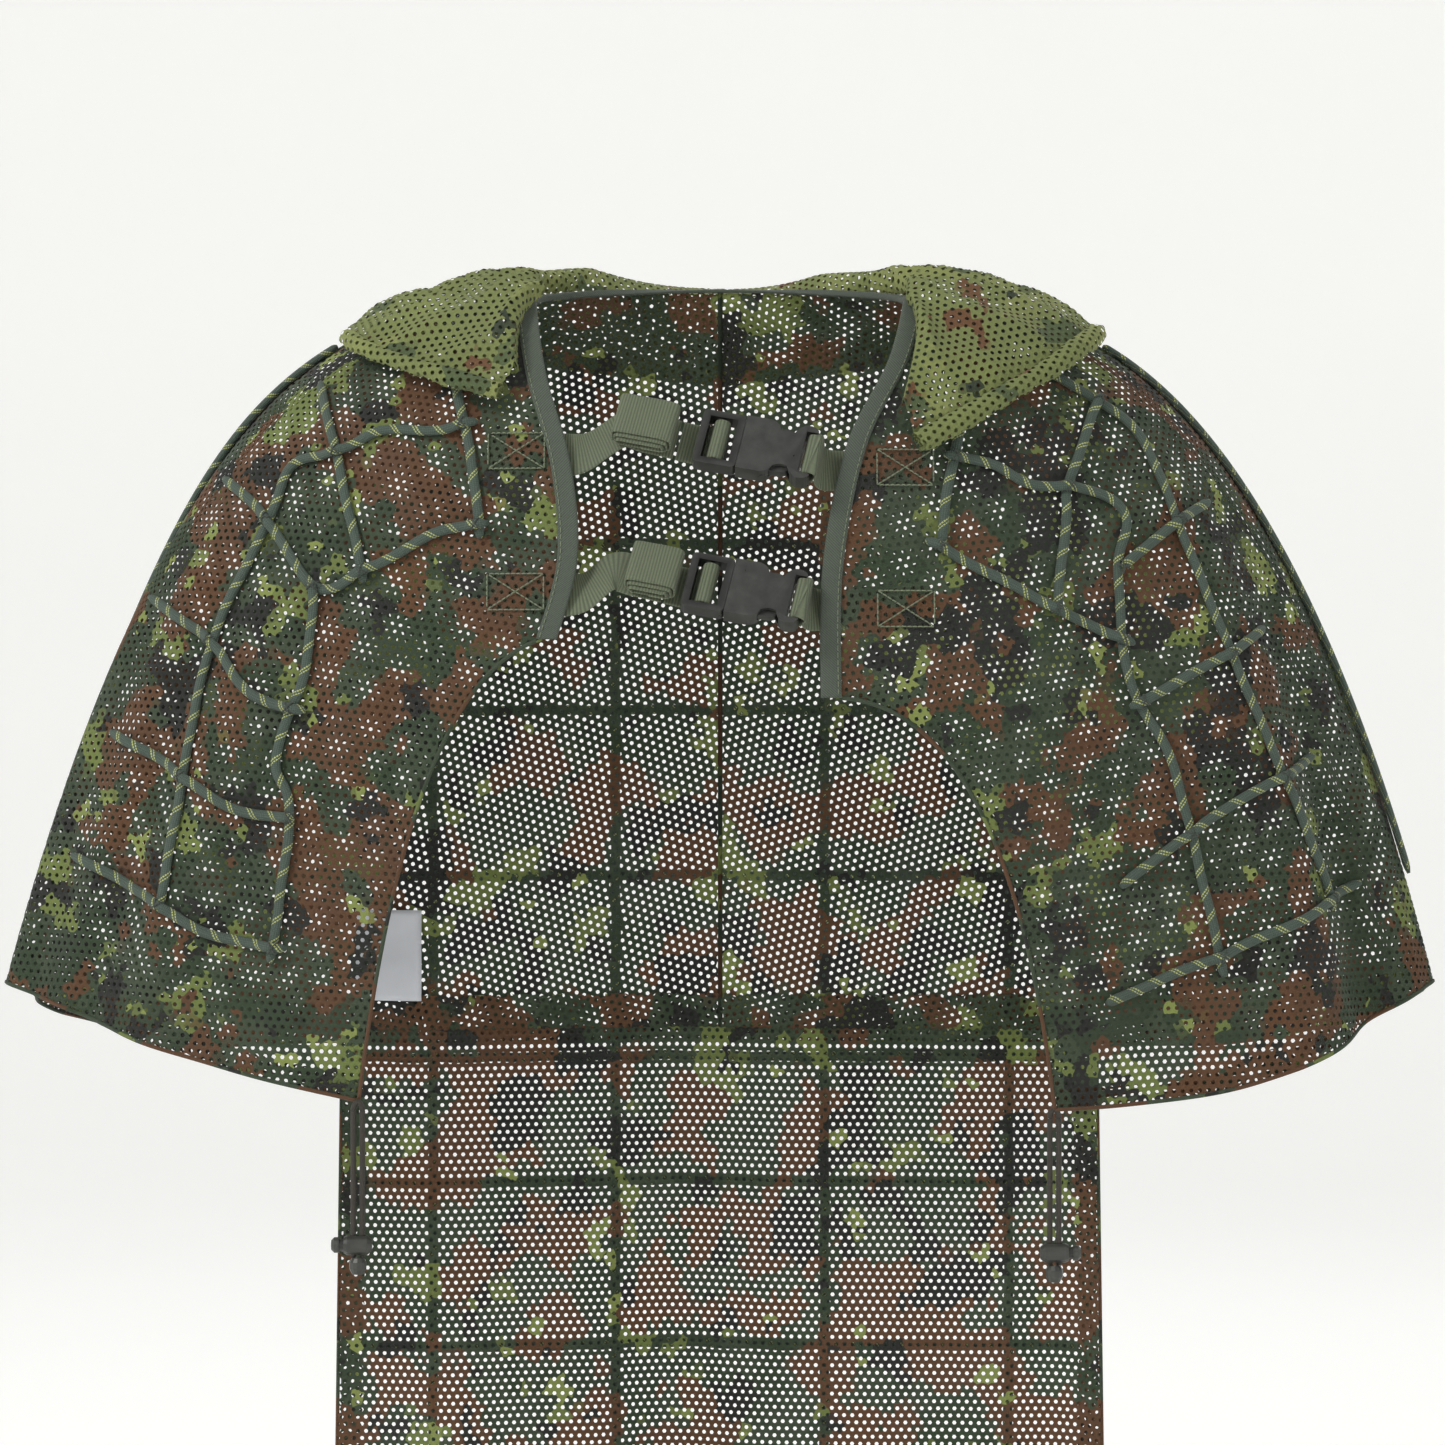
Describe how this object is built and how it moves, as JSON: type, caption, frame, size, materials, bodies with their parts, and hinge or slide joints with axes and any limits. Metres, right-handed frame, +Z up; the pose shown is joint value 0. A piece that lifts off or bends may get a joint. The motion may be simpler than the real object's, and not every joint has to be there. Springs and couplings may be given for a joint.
{
  "type": "ghillie suit foundation cape",
  "caption": "Open-front camouflage mesh shoulder cape with a collapsed hood, sewn cord nets, two buckled chest straps, shock-cord toggles and a long hanging back panel.",
  "frame": {"origin": "centre of the neck opening, level with the tops of the shoulders", "axes": "+Z up, the wearer faces -Y, +X is the wearer's left"},
  "size_m": [0.7764, 0.2695, 0.8831],
  "materials": {
    "mesh": "matt five-colour blotched mesh netting with round holes",
    "hood_mesh": "matt mesh netting, mostly pale yellow-green",
    "binding": "matt grosgrain tape, folded and stitched",
    "webbing": "ribbed webbing, slight sheen",
    "net_cord": "braided cord with yellow-green tracer yarns",
    "shock_cord": "braided elastic cord",
    "buckle": "moulded, fine satin grain",
    "toggle": "moulded, satin",
    "label": "satin woven tape, blank",
    "spring": "drawn wire"
  },
  "bodies": {
    "root": {"front_panel_right": "mesh", "front_panel_left": "mesh", "back_yoke_right": "mesh", "back_yoke_left": "mesh", "back_panel": "mesh", "hood": "hood_mesh", "neck_binding_right": "binding", "neck_binding_left": "binding", "neck_binding_back": "binding", "care_label": "label", "cord_net_front_right": "net_cord", "cord_net_front_left": "net_cord", "cord_net_back": "net_cord", "ridge_cord_right": "net_cord", "ridge_cord_left": "net_cord", "upper_strap_base": "webbing", "upper_strap_anchor": "webbing", "upper_buckle_female": "buckle", "lower_strap_base": "webbing", "lower_strap_anchor": "webbing", "lower_buckle_female": "buckle", "shock_cord_right_inner": "shock_cord", "shock_cord_right_outer": "shock_cord", "shock_cord_left_inner": "shock_cord", "shock_cord_left_outer": "shock_cord", "cord_end_right": "toggle", "cord_end_left": "toggle"},
    "upper_male": {"upper_buckle_male": "buckle", "upper_strap_wrap": "webbing", "upper_strap_roll": "webbing"},
    "upper_prong_top": {"upper_prong_top": "buckle"},
    "upper_prong_bottom": {"upper_prong_bottom": "buckle"},
    "lower_male": {"lower_buckle_male": "buckle", "lower_strap_wrap": "webbing", "lower_strap_roll": "webbing"},
    "lower_prong_top": {"lower_prong_top": "buckle"},
    "lower_prong_bottom": {"lower_prong_bottom": "buckle"},
    "lock_right": {"cord_lock_body_right": "toggle"},
    "plunger_right": {"cord_lock_plunger_right": "toggle", "cord_lock_spring_right": "spring"},
    "lock_left": {"cord_lock_body_left": "toggle"},
    "plunger_left": {"cord_lock_plunger_left": "toggle", "cord_lock_spring_left": "spring"}
  },
  "joints": [
    {"name": "upper_buckle_release", "type": "slide", "parent": "root", "child": "upper_male", "axis": [-0.9781, 0.1102, 0.1763], "range_m": [0, 0.027], "deforming": ["upper_strap_base"]},
    {"name": "upper_prong_top_squeeze", "type": "hinge", "parent": "upper_male", "child": "upper_prong_top", "pos_m": [0.01383, -0.10871, -0.07593], "axis": [0, 0.848, -0.5299], "range_deg": [0, 5], "stiffness_Nm_per_rad": 0.1},
    {"name": "upper_prong_bottom_squeeze", "type": "hinge", "parent": "upper_male", "child": "upper_prong_bottom", "pos_m": [0.00876, -0.12136, -0.09617], "axis": [0, -0.848, 0.5299], "range_deg": [0, 5], "stiffness_Nm_per_rad": 0.1},
    {"name": "lower_buckle_release", "type": "slide", "parent": "root", "child": "lower_male", "axis": [-0.9781, 0.1102, 0.1763], "range_m": [0, 0.027], "deforming": ["lower_strap_base"]},
    {"name": "lower_prong_top_squeeze", "type": "hinge", "parent": "lower_male", "child": "lower_prong_top", "pos_m": [0.00783, -0.11971, -0.15193], "axis": [0, 0.848, -0.5299], "range_deg": [0, 5], "stiffness_Nm_per_rad": 0.1},
    {"name": "lower_prong_bottom_squeeze", "type": "hinge", "parent": "lower_male", "child": "lower_prong_bottom", "pos_m": [0.00276, -0.13236, -0.17217], "axis": [0, -0.848, 0.5299], "range_deg": [0, 5], "stiffness_Nm_per_rad": 0.1},
    {"name": "right_lock_slide", "type": "slide", "parent": "root", "child": "lock_right", "axis": [0, 0, 1], "range_m": [0, 0.06]},
    {"name": "right_plunger_press", "type": "slide", "parent": "lock_right", "child": "plunger_right", "axis": [1, 0, 0], "range_m": [0, 0.002], "stiffness_N_per_m": 300, "deforming": ["cord_lock_spring_right"]},
    {"name": "left_lock_slide", "type": "slide", "parent": "root", "child": "lock_left", "axis": [0, 0, 1], "range_m": [0, 0.06]},
    {"name": "left_plunger_press", "type": "slide", "parent": "lock_left", "child": "plunger_left", "axis": [-1, 0, 0], "range_m": [0, 0.002], "stiffness_N_per_m": 300, "deforming": ["cord_lock_spring_left"]}
  ]
}
